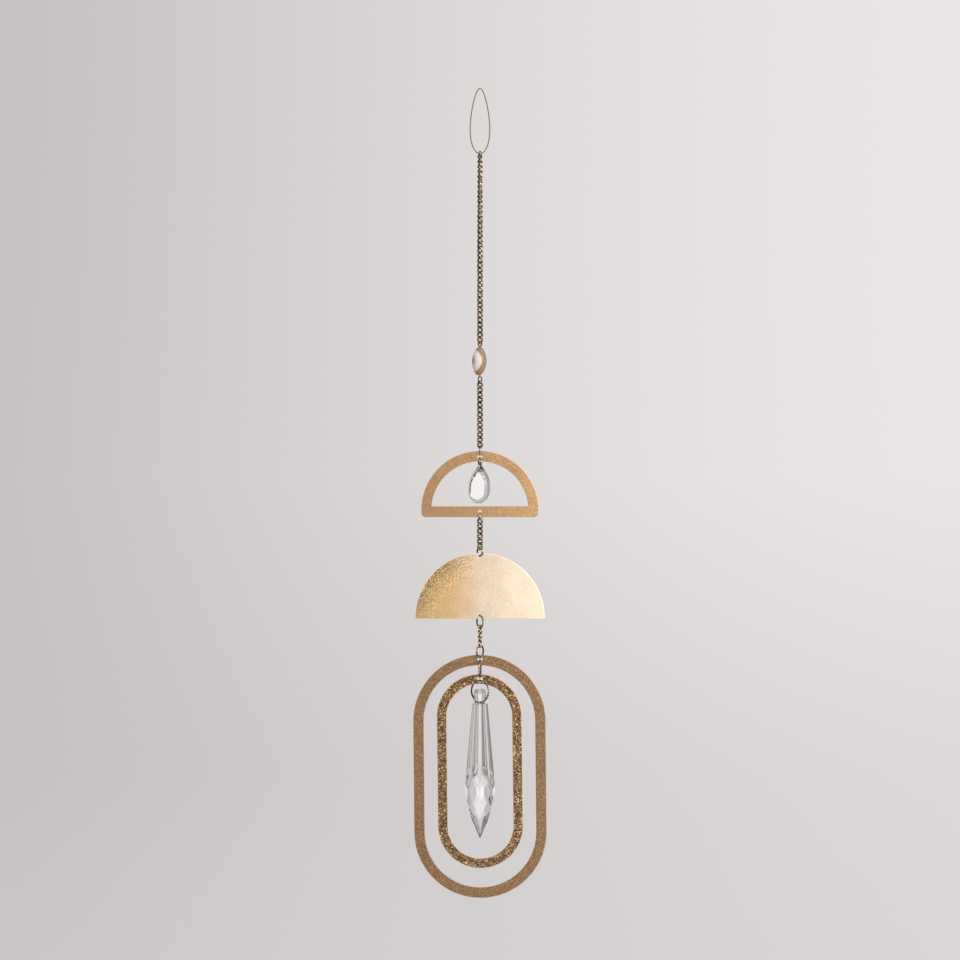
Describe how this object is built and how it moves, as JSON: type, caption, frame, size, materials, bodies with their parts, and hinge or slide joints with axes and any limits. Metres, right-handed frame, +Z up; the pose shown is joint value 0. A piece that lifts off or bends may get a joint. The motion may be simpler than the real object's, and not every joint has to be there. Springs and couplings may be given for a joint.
{
  "type": "suncatcher",
  "caption": "Hanging suncatcher: brass half moons and nested ovals on fine chain, with a stone bead and clear cut crystals that catch the light.",
  "frame": {"origin": "where the loop hangs on its hook: the middle of the inner upper edge of the wire loop", "axes": "+Z up along the hanging line, +X to the right seen from the front, the front of the piece faces -Y"},
  "size_m": [0.0706, 0.0158, 0.4291],
  "materials": {
    "hanging_loop": "soft mauve-grey coated wire",
    "upper_chain": "darkened antique brass wire",
    "bead_wire": "darkened antique brass wire",
    "stone_bead": "polished tan stone with a milky streak",
    "lower_chain": "darkened antique brass wire",
    "frame_ring_top": "darkened antique brass wire",
    "half_moon_frame": "fine matte grain, unlacquered warm brass",
    "drop_ring_upper": "darkened antique brass wire",
    "drop_ring_lower": "darkened antique brass wire",
    "crystal_drop": "clear cut crystal with flat facets",
    "frame_ring_bottom": "darkened antique brass wire",
    "middle_chain": "darkened antique brass wire",
    "plate_ring_top": "darkened antique brass wire",
    "half_moon_plate": "soft bright satin",
    "plate_ring_bottom": "darkened antique brass wire",
    "short_chain": "darkened antique brass wire",
    "oval_ring_top": "darkened antique brass wire",
    "large_oval": "fine matte grain, unlacquered warm brass",
    "oval_link_ring": "darkened antique brass wire",
    "small_oval": "coarse sparkling hammered grain",
    "icicle_ring": "darkened antique brass wire",
    "icicle_crystal": "clear cut crystal with flat facets"
  },
  "bodies": {
    "root": {"hanging_loop": "hanging_loop", "upper_chain": "upper_chain", "bead_wire": "bead_wire", "stone_bead": "stone_bead", "lower_chain": "lower_chain", "frame_ring_top": "frame_ring_top", "half_moon_frame": "half_moon_frame", "drop_ring_upper": "drop_ring_upper", "drop_ring_lower": "drop_ring_lower", "crystal_drop": "crystal_drop", "frame_ring_bottom": "frame_ring_bottom", "middle_chain": "middle_chain", "plate_ring_top": "plate_ring_top", "half_moon_plate": "half_moon_plate", "plate_ring_bottom": "plate_ring_bottom", "short_chain": "short_chain", "oval_ring_top": "oval_ring_top", "large_oval": "large_oval", "oval_link_ring": "oval_link_ring", "small_oval": "small_oval", "icicle_ring": "icicle_ring", "icicle_crystal": "icicle_crystal"}
  },
  "joints": []
}
